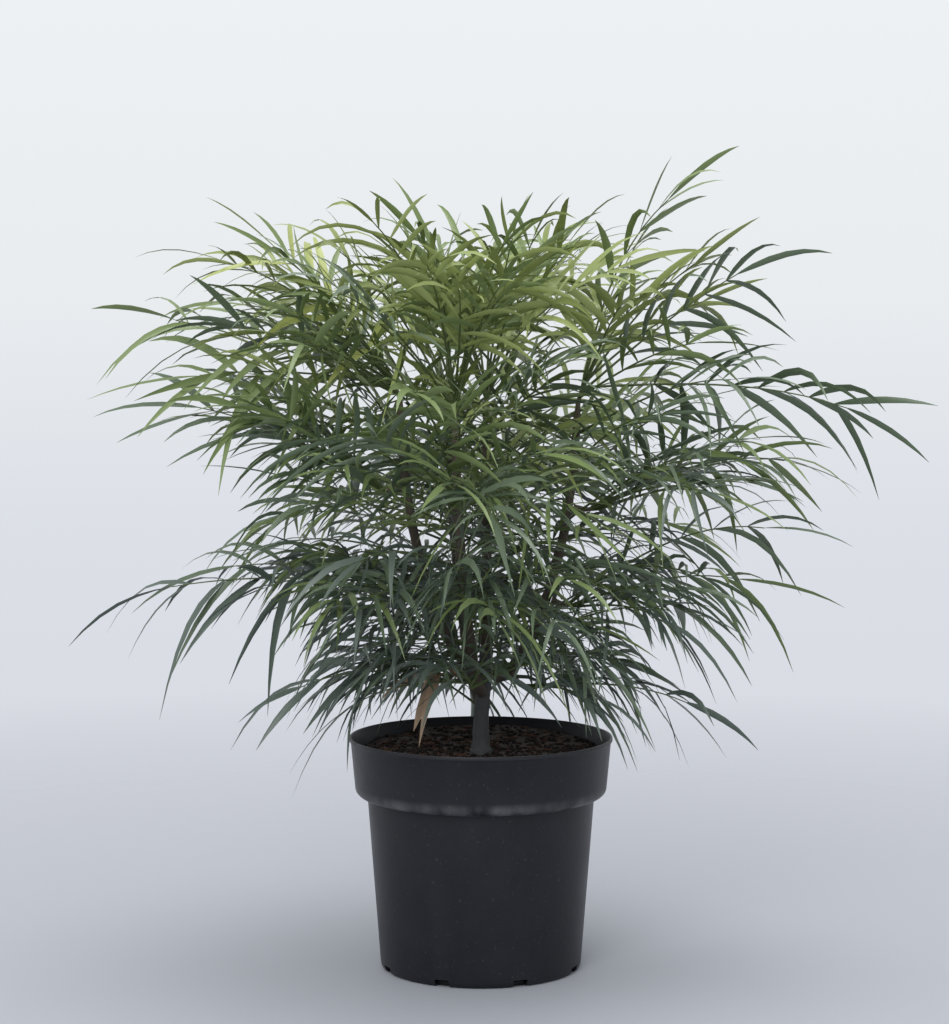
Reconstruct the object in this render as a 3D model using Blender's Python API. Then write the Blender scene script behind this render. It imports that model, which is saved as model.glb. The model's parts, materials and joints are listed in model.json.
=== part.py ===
"""Narrow-leaved mahonia shrub in a round nursery pot, at its real size.

Metres, +Z up, origin in the middle of the flat underside of the pot, and the
front of the plant towards -Y. One short main stem carries upright canes. Each
tuft of long feathered leaves (fronds) is one solid, grown by a seeded rule
from a short stem of its own that meets its cane.
"""

import math
import random
from dataclasses import dataclass

import bmesh
import bpy
import numpy as np
from mathutils import Matrix, Vector

# Pot
RIM_RADIUS = 0.0968
POT_HEIGHT = 0.171
RIM_LIP = 0.0012
COLLAR_FOOT_RADIUS = 0.0925
COLLAR_FOOT_HEIGHT = 0.134
STEP_HEIGHT = 0.127
BODY_TOP_RADIUS = 0.0834
BASE_RADIUS = 0.0740
BASE_BEVEL = 0.0045
WALL = 0.0018
FLOOR = 0.003
INNER_STEP_LIFT = 0.0011
POT_SEGMENTS = 36
STEP_POINTS = 3
NOTCHES = 8
NOTCH_WIDTH = 0.011
NOTCH_DEPTH = 0.007
NOTCH_HEIGHT = 0.0055

# Soil
SOIL_TOP = 0.158
SOIL_RINGS = (1.0, 0.76, 0.5, 0.24, 0.0)
SOIL_FLAT_RADIUS = 0.026
SOIL_BACK_SLOPE = 0.11
SOIL_HOLLOWS = 0.0016
SOIL_HEAPS = 0.001

# Gap kept between pieces that touch, and the one to a faceted round limb
GAP = 0.0003
BARK_GAP = 0.00045

# Main stem and canes
STEM_FOOT_RADIUS = 0.0088
STEM_RADIUS = 0.0056
STEM_TIP_RADIUS = 0.0048
STEM_FLARE_HEIGHT = 0.016
STEM_FLARE_BEND = 0.4
STEM_TIP = Vector((0.004, 0.0, 0.236))
STEM_PULL = 0.020
CANE_RADIUS = 0.0042
CANE_TIP_RADIUS = 0.0029
CANE_PULL_OUT = 0.16
CANE_PULL_UP = 0.36
LIMB_SIDES = 8
LIMB_RINGS = 6

# Tufts of fronds: the stem of a mass
TUFT_STEM_RADIUS = 0.0027
TUFT_STEM_TAPER = (1.0, 0.95, 0.7)
TUFT_STEM_SIDES = 5
TUFT_STEM_LENGTH = 0.020
TIP_STEM_LENGTH = 0.030
TUFT_STEM_BEND = 0.45
TUFT_STEM_LEAN = 0.5
LEAST_LEAN = 10
FRONDS_FROM = 0.25
FRONDS_TO = 0.95
FROND_FEET = 4

# Fronds: ribs, and their spread round the aim of the mass in degrees
RIB_WIDTH = 0.0032
RIB_END_WIDTH = 0.0022
RIB_DEPTH = 0.9
BARE_SHARE = 0.24
DROOP_GROWTH = 1.4
LIFT_SPREAD = 5
TURN_SPREAD = 9
CURL_SPREAD = 12
RIB_LENGTHS = (0.8, 1.1)
DROOP_SPREAD = 0.2
RIB_TRIES = 8

# Leaflets, with their angle from the rib in degrees
PAIR_SPACING = 0.033
LEAFLET_LENGTH = 0.082
LEAFLET_WIDTH = 0.0112
LEAFLET_THICKNESS = 0.0013
LEAFLET_CORNERS = ((-0.5, -0.35), (0.5, -0.35), (0.0, 0.65))
ROOT_SHARE = 0.18
LEAF_MIDDLE = 0.42
LEAF_ROLL = 55
FIRST_PAIR_ANGLE = 62
LAST_PAIR_ANGLE = 36
ANGLE_SPREAD = 7
SHORTEST_PAIR = 0.78
END_LEAFLET = 0.9
LEAF_LIFT = (0.02, 0.18)
LEAF_SAG = (0.28, 0.62)
LEAF_LENGTHS = (0.9, 1.06)
LEAFLET_TRIES = 3

# Space that a mass keeps to, and that leaves keep clear
OWN_SPACING = 0.003
ROOT_REACH = 0.008
SPACE_MARGIN = 36
NEAR_FOOT = 0.05
STEEP = 0.8
OVER_RIM = 0.006
BESIDE_RIM = 0.008
INSIDE_RIM = 0.016
OVER_SOIL = 0.004
FOOT_SHOWS_TO = 0.204
FOOT_SHOWS_ACROSS = 0.036
FOOT_SHOWS_FROM = 0.056
SEED = 7

UP = Vector((0.0, 0.0, 1.0))


@dataclass(frozen=True)
class Cane:
    """An upright limb: the height where it leaves the main stem, its side and its tip."""

    name: str
    height: float
    azimuth: float
    tip: tuple


@dataclass(frozen=True)
class Tuft:
    """One mass of fronds: its place on a cane, how it fans out, and its leading fronds."""

    name: str
    cane: str
    along: float
    azimuth: float
    elevation: float
    fan: float
    rise: float
    fronds: int
    length: float
    droop: float
    leaders: tuple = ()
    leaf_scale: float = 1.0
    sag: float = 1.0
    finish: str = "green_leaf"


@dataclass(frozen=True)
class Leader:
    """A frond that shows by itself: its aim in degrees, its length and its droop."""

    azimuth: float
    elevation: float
    length: float
    droop: float


CANES = (
    Cane("cane_centre", 0.236, 90, (0.004, 0.016, 0.400)),
    Cane("cane_left", 0.222, 176, (-0.058, -0.006, 0.405)),
    Cane("cane_right", 0.213, 6, (0.070, 0.004, 0.402)),
    Cane("cane_front", 0.204, 258, (-0.018, -0.058, 0.394)),
    Cane("cane_back", 0.195, 104, (-0.024, 0.068, 0.394)),
)

TUFTS = (
    Tuft("tuft_top", "cane_centre", 1.0, 80, 66, 150, 14, 5, 0.118, 12,
         (Leader(5, 66, 0.128, 8), Leader(186, 72, 0.102, 4))),
    Tuft("tuft_crown_left", "cane_left", 1.0, 180, 40, 62, 18, 6, 0.142, 20,
         (Leader(184, 56, 0.130, 12), Leader(179, 20, 0.168, 6), Leader(186, 8, 0.142, 12))),
    Tuft("tuft_crown_right", "cane_right", 1.0, 0, 44, 66, 20, 3, 0.120, 18,
         (Leader(3, 78, 0.160, 26), Leader(357, 41, 0.142, 8), Leader(359, 3, 0.194, 16))),
    Tuft("tuft_crown_front", "cane_front", 1.0, 266, 58, 62, 18, 6, 0.136, 22),
    Tuft("tuft_crown_back", "cane_back", 1.0, 94, 56, 62, 18, 6, 0.136, 22),
    Tuft("tuft_shoulder_left", "cane_left", 0.78, 184, 34, 50, 14, 5, 0.136, 16,
         (Leader(177, 30, 0.150, 14),)),
    Tuft("tuft_shoulder_right", "cane_right", 0.74, 356, 26, 50, 14, 5, 0.136, 18,
         (Leader(2, 26, 0.150, 26),)),
    Tuft("tuft_shoulder_front", "cane_front", 0.80, 270, 28, 60, 18, 6, 0.142, 28),
    Tuft("tuft_shoulder_back", "cane_back", 0.72, 92, 28, 60, 18, 6, 0.148, 28),
    Tuft("tuft_middle_left", "cane_left", 0.50, 186, 14, 48, 12, 5, 0.114, 18,
         (Leader(178, 12, 0.124, 14), Leader(183, 4, 0.166, 10))),
    Tuft("tuft_middle_right", "cane_right", 0.46, 354, 20, 48, 16, 4, 0.114, 24,
         (Leader(2, 36, 0.160, 32), Leader(352, 20, 0.126, 22))),
    Tuft("tuft_middle_front", "cane_front", 0.50, 270, 26, 56, 18, 6, 0.132, 28),
    Tuft("tuft_middle_back", "cane_back", 0.44, 88, 24, 58, 18, 6, 0.140, 28),
    Tuft("tuft_low_left", "cane_left", 0.12, 188, 14, 44, 8, 3, 0.100, 24,
         (Leader(192, 8, 0.112, 22),)),
    Tuft("tuft_low_right", "cane_right", 0.14, 350, 14, 46, 8, 3, 0.104, 18,
         (Leader(356, 4, 0.122, 20),)),
    Tuft("tuft_low_front", "cane_front", 0.22, 262, 34, 54, 10, 4, 0.106, 20),
    Tuft("tuft_low_back", "cane_back", 0.16, 98, 16, 50, 8, 3, 0.118, 26),
    Tuft("tuft_withered", "main_stem", 0.72, 212, 16, 30, 4, 0, 0.050, 20,
         (Leader(214, 34, 0.031, 72), Leader(262, 36, 0.020, 30)), 0.72, 1.0, "dead_leaf"),
)


def clear_scene():
    """Remove every object that the file opens with."""
    for item in list(bpy.data.objects):
        bpy.data.objects.remove(item, do_unlink=True)


def material(name, colour, roughness, metallic=0.0):
    """Make a Principled material from a plain colour."""
    made = bpy.data.materials.new(name)
    made.use_nodes = True
    shader = made.node_tree.nodes["Principled BSDF"]
    shader.inputs["Base Color"].default_value = (*colour, 1.0)
    shader.inputs["Roughness"].default_value = roughness
    shader.inputs["Metallic"].default_value = metallic
    return made


def object_from(bm, name, finish):
    """Turn a bmesh into an object of the scene, with its material."""
    mesh = bpy.data.meshes.new(name)
    bm.to_mesh(mesh)
    bm.free()
    mesh.materials.append(finish)
    made = bpy.data.objects.new(name, mesh)
    bpy.context.collection.objects.link(made)
    return made


def turned(profile, segments):
    """Spin a profile of (radius, height) points round Z into a closed solid."""
    bm = bmesh.new()
    points = [bm.verts.new((radius, 0.0, height)) for radius, height in profile]
    edges = [bm.edges.new(pair) for pair in zip(points, points[1:])]
    bmesh.ops.spin(bm, geom=points + edges, cent=(0, 0, 0), axis=(0, 0, 1), angle=math.tau,
                   steps=segments, use_merge=True)
    bmesh.ops.remove_doubles(bm, verts=bm.verts, dist=1e-6)
    bmesh.ops.recalc_face_normals(bm, faces=bm.faces)
    return bm


def step_curve(inset):
    """Return the rounded step under the collar, from the body out to the collar's foot."""
    points = []
    for index in range(STEP_POINTS + 1):
        turn = math.radians(90) * index / STEP_POINTS
        radius = BODY_TOP_RADIUS + (COLLAR_FOOT_RADIUS - BODY_TOP_RADIUS) * math.sin(turn)
        height = STEP_HEIGHT + (COLLAR_FOOT_HEIGHT - STEP_HEIGHT) * (1 - math.cos(turn))
        points.append((radius - inset, height))
    return points


def inner_wall(clearance):
    """Return the pot's inner profile from the floor to the rim, moved in by a clearance."""
    inset = WALL + clearance
    floor = FLOOR + clearance
    wall = [(BASE_RADIUS - inset, floor)]
    wall += [(radius, height + INNER_STEP_LIFT) for radius, height in step_curve(inset)]
    wall.append((RIM_RADIUS - inset, POT_HEIGHT))
    return wall


def make_pot(finish):
    """Turn the pot with its deep collar and cut the drain notches in its foot."""
    outer = [(0.0, 0.0), (BASE_RADIUS - BASE_BEVEL, 0.0), (BASE_RADIUS, BASE_BEVEL)]
    outer += step_curve(0.0)
    outer += [(RIM_RADIUS - RIM_LIP, POT_HEIGHT - 3 * RIM_LIP), (RIM_RADIUS, POT_HEIGHT - 2 * RIM_LIP),
              (RIM_RADIUS, POT_HEIGHT)]
    inner = list(reversed(inner_wall(0.0))) + [(0.0, FLOOR)]
    pot = object_from(turned(outer + inner, POT_SEGMENTS), "pot", finish)
    cut = bmesh.new()
    for index in range(NOTCHES):
        place = Matrix.Rotation(math.tau * (index + 0.5) / NOTCHES, 4, "Z")
        place @= Matrix.Translation((BASE_RADIUS, 0.0, 0.0))
        place @= Matrix.Diagonal((2 * NOTCH_DEPTH, NOTCH_WIDTH, 2 * NOTCH_HEIGHT, 1.0))
        bmesh.ops.create_cube(cut, size=1.0, matrix=place)
    cutter = object_from(cut, "notch_cutter", finish)
    cutter.hide_render = True
    cutter.display_type = "WIRE"
    notches = pot.modifiers.new("Drain notches", "BOOLEAN")
    notches.operation = "DIFFERENCE"
    notches.solver = "EXACT"
    notches.object = cutter
    pot.data.shade_smooth()
    return pot


def soil_rise(y):
    """Return how much higher the soil lies at a distance behind the stem."""
    return SOIL_BACK_SLOPE * max(0.0, y - SOIL_FLAT_RADIUS)


def make_soil(finish):
    """Fill the pot with a root ball: flat where the stem stands, rough and higher at the back."""
    wall = inner_wall(GAP)
    below = [point for point in wall if point[1] < SOIL_TOP]
    low, high = below[-1], wall[-1]
    share = (SOIL_TOP - low[1]) / (high[1] - low[1])
    edge = low[0] + (high[0] - low[0]) * share
    top = [(edge * ring, SOIL_TOP) for ring in SOIL_RINGS]
    bm = turned([(0.0, wall[0][1])] + below + top, POT_SEGMENTS)
    rough = random.Random(SEED)
    for vert in bm.verts:
        radius = math.hypot(vert.co.x, vert.co.y)
        if vert.co.z > SOIL_TOP - 1e-6 and radius > SOIL_FLAT_RADIUS:
            vert.co.z += rough.uniform(-SOIL_HOLLOWS, SOIL_HEAPS) + soil_rise(vert.co.y)
    return object_from(bm, "soil", finish)


def direction(azimuth, elevation):
    """Return the unit vector at an azimuth and an elevation, both in degrees."""
    turn, lift = math.radians(azimuth), math.radians(elevation)
    return Vector((math.cos(turn) * math.cos(lift), math.sin(turn) * math.cos(lift), math.sin(lift)))


def bezier(corners, count):
    """Return evenly spaced points of the cubic curve on four corners."""
    points = []
    for index in range(count):
        t = index / (count - 1)
        u = 1 - t
        points.append(corners[0] * u**3 + corners[1] * (3 * u * u * t)
                      + corners[2] * (3 * u * t * t) + corners[3] * t**3)
    return points


def tube(points, radii, sides, start=None):
    """Extrude a ring of vertices along a path, with one radius for each point."""
    bm = bmesh.new()
    tangents = [(after - before).normalized() for before, after in zip(points, points[1:])]
    aims = [start or tangents[0]]
    aims += [(before + after).normalized() for before, after in zip(tangents, tangents[1:])]
    aims.append(tangents[-1])
    turn = UP.rotation_difference(aims[0])
    frame = Matrix.Translation(points[0]) @ turn.to_matrix().to_4x4() @ Matrix.Scale(radii[0], 4)
    bmesh.ops.create_circle(bm, cap_ends=True, segments=sides, radius=1.0, matrix=frame)
    face = bm.faces[:][0]
    for index in range(1, len(points)):
        turn = aims[index - 1].rotation_difference(aims[index]) @ turn
        following = (Matrix.Translation(points[index]) @ turn.to_matrix().to_4x4()
                     @ Matrix.Scale(radii[index], 4))
        ring, face = extrude_on(bm, face, index == 1)
        bmesh.ops.transform(bm, matrix=following @ frame.inverted(), verts=ring)
        frame = following
    bmesh.ops.recalc_face_normals(bm, faces=bm.faces)
    return bm


def extrude_on(bm, face, first):
    """Extrude an end face, keep the old one only at the start, and return the new ring and face."""
    grown = bmesh.ops.extrude_face_region(bm, geom=[face], use_keep_orig=True)
    if not first:
        bmesh.ops.delete(bm, geom=[face], context="FACES_ONLY")
    ring = [item for item in grown["geom"] if isinstance(item, bmesh.types.BMVert)]
    ends = [item for item in grown["geom"] if isinstance(item, bmesh.types.BMFace)]
    return ring, ends[0]


class Limb:
    """A tapering limb: its path, its radii and the tests that ask how thick it is."""

    def __init__(self, name, points, radii, start):
        self.name = name
        self.points = points
        self.radii = radii
        self.start = start

    def at(self, share):
        """Return the point, radius and direction at a share of the limb's length."""
        place = share * (len(self.points) - 1)
        index = min(int(place), len(self.points) - 2)
        rest = place - index
        point = self.points[index].lerp(self.points[index + 1], rest)
        radius = self.radii[index] * (1 - rest) + self.radii[index + 1] * rest
        return point, radius, (self.points[index + 1] - self.points[index]).normalized()

    def build(self, finish):
        """Make the limb's solid."""
        made = object_from(tube(self.points, self.radii, LIMB_SIDES, self.start), self.name, finish)
        made.data.shade_smooth()
        return made


def plan_stem():
    """Return the main stem: root flare at a flat cut, lean and taper up to its fork."""
    foot = Vector((0.0, 0.0, SOIL_TOP + GAP))
    flare = [foot, foot + UP * STEM_FLARE_HEIGHT * STEM_FLARE_BEND, foot + UP * STEM_FLARE_HEIGHT]
    corners = (flare[-1], flare[-1] + UP * STEM_PULL, STEM_TIP - UP * STEM_PULL, STEM_TIP)
    above = bezier(corners, LIMB_RINGS)[1:]
    radii = [STEM_FOOT_RADIUS, (STEM_FOOT_RADIUS + 2 * STEM_RADIUS) / 3, STEM_RADIUS]
    radii += [STEM_RADIUS + (STEM_TIP_RADIUS - STEM_RADIUS) * (k + 1) / len(above)
              for k in range(len(above))]
    return Limb("main_stem", flare + above, radii, UP)


def plan_cane(cane, stem):
    """Return a cane that leaves the main stem square to its bark, then turns upright."""
    tip = Vector(cane.tip)
    if cane.height >= STEM_TIP.z:
        start = (stem.points[-1] - stem.points[-2]).normalized()
        foot = stem.points[-1] + start * GAP
    else:
        start = direction(cane.azimuth, 0)
        middle, radius, _ = stem.at(share_at_height(stem, cane.height))
        foot = middle + start * (radius + BARK_GAP)
    span = (tip - foot).length
    corners = (foot, foot + start * span * CANE_PULL_OUT, tip - UP * span * CANE_PULL_UP, tip)
    points = bezier(corners, LIMB_RINGS + 1)
    radii = [CANE_RADIUS + (CANE_TIP_RADIUS - CANE_RADIUS) * k / LIMB_RINGS
             for k in range(LIMB_RINGS + 1)]
    return Limb(cane.name, points, radii, start)


def share_at_height(limb, height):
    """Return the share of a limb's points at which it passes a height."""
    for index, (before, after) in enumerate(zip(limb.points, limb.points[1:])):
        if after.z >= height:
            rest = (height - before.z) / (after.z - before.z)
            return (index + rest) / (len(limb.points) - 1)
    return 1.0


class Keep:
    """The places already taken, as fat line segments, and the test against them."""

    def __init__(self):
        self.rows = []
        self.marks = []

    def add(self, owner, frond, points, radius):
        """Take the places along a path for a frond of an owner."""
        for before, after in zip(points, points[1:]):
            self.rows.append((*before, *after, radius))
            self.marks.append((owner, frond))

    def clear(self, owner, frond, points, radius):
        """Say whether a path is clear of other owners, and of its owner's fronds but this one."""
        table = np.array(self.rows)
        own = np.array([mark[0] == owner for mark in self.marks])
        near = np.array([mark[1] in (frond, "stem") or frond == "rib" for mark in self.marks])
        spare = np.where(own, OWN_SPACING, table[:, 6] + radius + 2 * GAP)
        spare[own & near] = -1.0
        for before, after in zip(points, points[1:]):
            gaps = segment_gaps(np.array(before), np.array(after), table[:, 0:3], table[:, 3:6])
            if (gaps < spare).any():
                return False
        return True


def segment_gaps(start, end, starts, ends):
    """Return the distance from one line segment to each of many."""
    along, across = end - start, ends - starts
    between = start - starts
    a = along @ along
    e = (across**2).sum(1)
    b = across @ along
    c = between @ along
    f = (across * between).sum(1)
    s = np.clip((b * f - c * e) / np.maximum(a * e - b * b, 1e-12), 0, 1)
    t = np.clip((b * s + f) / e, 0, 1)
    s = np.clip((b * t - c) / a, 0, 1)
    apart = between + s[:, None] * along - t[:, None] * across
    return np.sqrt((apart**2).sum(1))


class Frond:
    """One feathered leaf: a rib that bends down towards its tip, with its leaflets."""

    def __init__(self, foot, leader, curl):
        self.end = None
        self.pairs = max(2, round(leader.length * (1 - BARE_SHARE) / PAIR_SPACING))
        self.points = [foot.copy()]
        shares = [0.0, BARE_SHARE]
        shares += [BARE_SHARE + (1 - BARE_SHARE) * (k + 1) / self.pairs for k in range(self.pairs)]
        for before, after in zip(shares, shares[1:]):
            middle = (before + after) / 2
            aim = direction(leader.azimuth + curl * middle,
                            leader.elevation - DROOP_GROWTH * leader.droop * middle * middle)
            self.points.append(self.points[-1] + aim * leader.length * (after - before))

    def pair_place(self, index):
        """Return the point and direction of the rib at a pair of leaflets."""
        before, after = self.points[index + 1], self.points[index + 2]
        return before.lerp(after, 0.5), (after - before).normalized()


class TuftPlan:
    """The stem, fronds and leaflets of one mass, each kept to the mass's own space."""

    def __init__(self, tuft, limb, seed):
        self.tuft = tuft
        self.chance = random.Random(seed)
        point, radius, aim = limb.at(tuft.along)
        if tuft.along == 1.0:
            self.foot = point + aim * GAP
            self.aim = aim
            reach = TIP_STEM_LENGTH
        else:
            out = direction(tuft.azimuth, 0)
            self.aim = (out - aim * out.dot(aim)).normalized()
            self.foot = point + self.aim * (radius + BARK_GAP)
            reach = TUFT_STEM_LENGTH
        outward = direction(tuft.azimuth, max(tuft.elevation, LEAST_LEAN))
        lean = (self.aim + outward * TUFT_STEM_LEAN).normalized()
        bend = self.foot + self.aim * reach * TUFT_STEM_BEND
        self.stem = [self.foot, bend, bend + lean * reach * (1 - TUFT_STEM_BEND)]
        self.reach = LEAFLET_LENGTH + reach + max([tuft.length] + [lead.length for lead in tuft.leaders])
        self.fronds = []
        self.leaflets = []

    def inside(self, points):
        """Say whether a path stays in the space of this mass, and off the pot and soil."""
        for before, after in zip(points, points[1:]):
            for share in (0.5, 1.0):
                point = before.lerp(after, share)
                away = point - self.foot
                turn = math.degrees(math.atan2(away.y, away.x)) - self.tuft.azimuth
                wide = abs((turn + 180) % 360 - 180) > self.tuft.fan + SPACE_MARGIN
                if wide and away.length > NEAR_FOOT and away.z < away.length * STEEP:
                    return False
                if away.length > self.reach or not off_pot(point):
                    return False
                if self.tuft.finish == "green_leaf" and hides_foot(point):
                    return False
        return True

    def grow_leaders(self, keep):
        """Grow the leading ribs where their way is free."""
        for leader in self.tuft.leaders:
            self.try_rib(keep, leader, 0.0)

    def grow_fan(self, keep):
        """Fan the other ribs out, and leave out those with no free way."""
        tuft, draw = self.tuft, self.chance.uniform
        for index in range(tuft.fronds):
            share = index / max(tuft.fronds - 1, 1)
            for _ in range(RIB_TRIES):
                lift = tuft.rise * (1 if index % 2 else -1) + draw(-LIFT_SPREAD, LIFT_SPREAD)
                turn = tuft.fan * (2 * share - 1) + draw(-TURN_SPREAD, TURN_SPREAD)
                leader = Leader(tuft.azimuth + turn, tuft.elevation + lift,
                                tuft.length * draw(*RIB_LENGTHS),
                                tuft.droop * draw(1 - DROOP_SPREAD, 1 + DROOP_SPREAD))
                if self.try_rib(keep, leader, draw(-CURL_SPREAD, CURL_SPREAD)):
                    break

    def try_rib(self, keep, leader, curl):
        """Keep one rib if its way is free, and say whether it was kept."""
        rank = len(self.fronds)
        step = (rank % FROND_FEET) / (FROND_FEET - 1)
        foot = self.stem[1].lerp(self.stem[2], FRONDS_FROM + (FRONDS_TO - FRONDS_FROM) * step)
        frond = Frond(foot, leader, curl)
        name = f"frond_{rank}"
        if self.inside(frond.points) and keep.clear(self.tuft.name, "rib", frond.points, RIB_WIDTH / 2):
            self.fronds.append((name, frond))
            keep.add(self.tuft.name, name, frond.points, RIB_WIDTH / 2)
            return True
        return False

    def grow_ends(self, keep):
        """Set one leaflet at the end of each rib that has room for it."""
        for name, frond in self.fronds:
            aim = (frond.points[-1] - frond.points[-2]).normalized()
            frond.end = self.grow_leaflet(keep, name, frond.points[-1], aim, 0.0, END_LEAFLET)

    def grow_pairs(self, keep):
        """Set pairs of leaflets along each rib, where they have room."""
        for name, frond in self.fronds:
            for index in range(frond.pairs):
                root, aim = frond.pair_place(index)
                share = (index + 0.5) / frond.pairs
                open_angle = FIRST_PAIR_ANGLE + (LAST_PAIR_ANGLE - FIRST_PAIR_ANGLE) * share
                size = SHORTEST_PAIR + (1 - SHORTEST_PAIR) * math.sin(math.pi * share)
                for side in (-1, 1):
                    for _ in range(LEAFLET_TRIES):
                        angle = side * open_angle + self.chance.uniform(-ANGLE_SPREAD, ANGLE_SPREAD)
                        path = self.grow_leaflet(keep, name, root, aim, angle, size)
                        if path:
                            self.leaflets.append((path, self.chance.uniform(-LEAF_ROLL, LEAF_ROLL)))
                            break

    def grow_leaflet(self, keep, name, root, aim, angle, size):
        """Return one leaflet's path if it stays in the mass's space and touches nothing."""
        across = aim.cross(UP).normalized()
        turn = math.radians(angle)
        length = LEAFLET_LENGTH * self.tuft.leaf_scale * size * self.chance.uniform(*LEAF_LENGTHS)
        first = aim * math.cos(turn) + across * math.sin(turn)
        first = (first + UP * self.chance.uniform(*LEAF_LIFT)).normalized()
        second = (first - UP * self.tuft.sag * self.chance.uniform(*LEAF_SAG)).normalized()
        middle = root + first * length * LEAF_MIDDLE
        tip = middle + second * length * (1 - LEAF_MIDDLE)
        beyond = root + first * ROOT_REACH
        free = keep.clear(self.tuft.name, name, [beyond, middle, tip], LEAFLET_WIDTH / 2)
        if not free or not self.inside([root, middle, tip]):
            return None
        keep.add(self.tuft.name, name, [root, middle, tip], LEAFLET_WIDTH / 2)
        return [root, middle, tip]

    def build(self, finish):
        """Fuse the stem, ribs and leaflets into the one solid of this mass."""
        group = bpy.data.collections.new(self.tuft.name + "_parts")
        bpy.context.scene.collection.children.link(group)
        radii = [TUFT_STEM_RADIUS * share for share in TUFT_STEM_TAPER]
        shape = tube(self.stem, radii, TUFT_STEM_SIDES, self.aim)
        body = object_from(shape, self.tuft.name, finish)
        pieces = [object_from(rib(frond), "rib", finish) for _, frond in self.fronds]
        pieces += [object_from(leaflet(path, roll), "leaflet", finish) for path, roll in self.leaflets]
        for piece in pieces:
            bpy.context.collection.objects.unlink(piece)
            group.objects.link(piece)
        joined = body.modifiers.new("Fused leaves", "BOOLEAN")
        joined.operation = "UNION"
        joined.solver = "EXACT"
        joined.operand_type = "COLLECTION"
        joined.collection = group
        apply_modifiers(body)
        for piece in pieces:
            bpy.data.objects.remove(piece, do_unlink=True)
        bpy.data.collections.remove(group)
        keep_main_body(body.data)
        return body


def off_pot(point):
    """Say whether a point is clear of the pot's wall, collar and soil."""
    radius = math.hypot(point.x, point.y)
    above = point.z > POT_HEIGHT + OVER_RIM
    outside = radius > RIM_RADIUS + BESIDE_RIM
    over_soil = radius < RIM_RADIUS - INSIDE_RIM and point.z > SOIL_TOP + soil_rise(point.y) + OVER_SOIL
    return above or outside or over_soil


def hides_foot(point):
    """Say whether a leaf there would hide the foot of the stem from the front."""
    return point.y < -FOOT_SHOWS_FROM and point.z < FOOT_SHOWS_TO and abs(point.x) < FOOT_SHOWS_ACROSS


def rib(frond):
    """Make the three-sided rib of a frond, which tapers and ends in its last leaflet."""
    count = len(frond.points)
    widths = [RIB_WIDTH + (RIB_END_WIDTH - RIB_WIDTH) * k / (count - 1) for k in range(count)]
    sizes = [(width, width * RIB_DEPTH) for width in widths]
    points = list(frond.points)
    if frond.end:
        points += frond.end[1:]
        sizes.append((LEAFLET_WIDTH, LEAFLET_THICKNESS))
    return blade(points, sizes, points[count - 1] - points[0])


def leaflet(path, roll):
    """Make one leaflet, turned on its own line: a narrow root, a wide ridged middle and a pointed tip."""
    sizes = [(LEAFLET_WIDTH * ROOT_SHARE, LEAFLET_THICKNESS * ROOT_SHARE),
             (LEAFLET_WIDTH, LEAFLET_THICKNESS)]
    return blade(path, sizes, path[1] - path[0], roll)


def blade(points, sizes, aim, roll=0.0):
    """Extrude a ridged triangle along a path; with fewer sizes than points it ends in a point.

    Every ring has the same turn, so that each long face is flat. The roll is in degrees.
    """
    across = Matrix.Rotation(math.radians(roll), 3, aim) @ aim.cross(UP).normalized()
    lift = across.cross(aim).normalized()
    rings = [[point + across * x * wide + lift * y * high for x, y in LEAFLET_CORNERS]
             for point, (wide, high) in zip(points, sizes)]
    bm = bmesh.new()
    face = bm.faces.new([bm.verts.new(corner) for corner in rings[0]])
    for before, after in zip(rings, rings[1:]):
        grown, face = extrude_on(bm, face, before is rings[0])
        for vert in grown:
            corner = min(range(len(before)), key=lambda k: (vert.co - before[k]).length)
            vert.co = after[corner]
    if len(points) > len(sizes):
        bmesh.ops.poke(bm, faces=[face])["verts"][0].co = points[-1]
    bmesh.ops.recalc_face_normals(bm, faces=bm.faces)
    return bm


def apply_modifiers(item):
    """Replace an object's mesh by the mesh that its modifiers give."""
    graph = bpy.context.evaluated_depsgraph_get()
    mesh = bpy.data.meshes.new_from_object(item.evaluated_get(graph))
    item.modifiers.clear()
    item.data = mesh


def keep_main_body(mesh):
    """Drop loose scraps and the walls of sealed hollows, so that one body is left."""
    bm = bmesh.new()
    bm.from_mesh(mesh)
    bmesh.ops.triangulate(bm, faces=bm.faces)
    bodies = []
    unseen = set(bm.faces)
    while unseen:
        body = [unseen.pop()]
        for face in body:
            for edge in face.edges:
                near = [other for other in edge.link_faces if other in unseen]
                unseen.difference_update(near)
                body.extend(near)
        bodies.append(body)
    bodies.sort(key=len)
    scraps = [face for body in bodies[:-1] for face in body]
    bmesh.ops.delete(bm, geom=scraps, context="FACES")
    bm.to_mesh(mesh)
    bm.free()


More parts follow.
